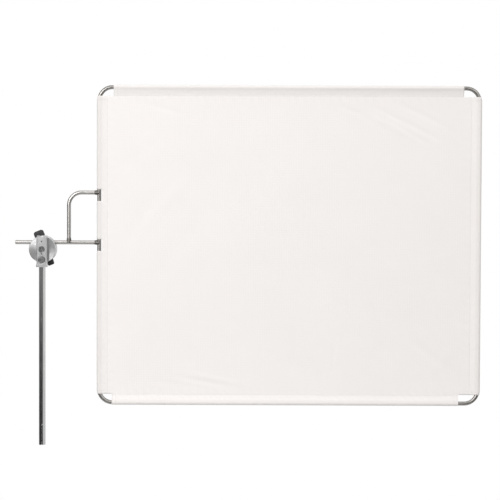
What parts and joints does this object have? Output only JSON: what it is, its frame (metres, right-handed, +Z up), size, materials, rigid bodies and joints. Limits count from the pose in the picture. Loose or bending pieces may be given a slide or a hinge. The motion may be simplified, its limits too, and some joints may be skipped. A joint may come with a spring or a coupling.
{
  "type": "cloth flag in a grip head on a short arm",
  "caption": "White cloth flag on a rod frame with a welded yoke, its pin clamped between the jaws of a grip head on a short round arm; the head tilts, the flag swings and slides.",
  "frame": {"origin": "centre of the arm's lower end", "axes": "+Z up the arm to the head, +X from the head out along the flag, +Y from the head's socket through the jaws to the handle"},
  "size_m": [1.1081, 0.09, 0.854],
  "materials": {
    "arm_chrome": "polished",
    "head_metal": "machined",
    "steel": "satin",
    "pad": "matte",
    "handle_rubber": "matte",
    "rod_steel": "plated",
    "weld": "as welded",
    "cloth": "matte"
  },
  "bodies": {
    "arm": {"arm_tube": "arm_chrome", "head_socket": "head_metal", "clamp_screw": "steel", "roll_pins": "steel", "centre_bolt": "steel", "friction_pad": "pad"},
    "inner_jaw": {"inner_jaw": "head_metal", "guide_pins": "steel", "jaw_spring": "steel"},
    "outer_jaw": {"outer_jaw": "head_metal"},
    "thrust_bearing": {"thrust_washer_inner": "steel", "bearing_rollers": "steel", "bearing_cage": "steel", "thrust_washer_outer": "steel"},
    "handle": {"handle_insert": "steel", "handle_grip": "handle_rubber"},
    "flag_pin": {"flag_pin": "rod_steel"},
    "flag": {"yoke": "rod_steel", "weld_beads": "weld", "frame_rod": "rod_steel", "cloth_panel": "cloth", "hem_top": "cloth", "hem_bottom": "cloth", "hem_left": "cloth", "hem_right": "cloth"}
  },
  "joints": [
    {"name": "head_tilt", "type": "hinge", "parent": "arm", "child": "inner_jaw", "pos_m": [0, 0.0135, 0.4637], "axis": [0, 1, 0], "continuous": true},
    {"name": "jaw_opening", "type": "slide", "parent": "inner_jaw", "child": "outer_jaw", "axis": [0, 1, 0], "range_m": [0, 0.0079], "deforming": ["jaw_spring"]},
    {"name": "bearing_slide", "type": "slide", "parent": "arm", "child": "thrust_bearing", "axis": [0, 1, 0], "range_m": [0, 0.0079]},
    {"name": "handle_turn", "type": "hinge", "parent": "thrust_bearing", "child": "handle", "pos_m": [0, 0.06, 0.4637], "axis": [0, 1, 0], "range_deg": [0, 1440]},
    {"name": "pin_slide", "type": "slide", "parent": "inner_jaw", "child": "flag_pin", "axis": [1, 0, 0], "range_m": [-0.01, 0.03]},
    {"name": "flag_swing", "type": "hinge", "parent": "flag_pin", "child": "flag", "pos_m": [0.0607, 0.029, 0.4793], "axis": [1, 0, 0], "continuous": true}
  ],
  "couplings": [
    {"joint": "jaw_opening", "follows": "handle_turn", "m_per_rad": 0.00031096},
    {"joint": "bearing_slide", "follows": "handle_turn", "m_per_rad": 0.00031096}
  ]
}
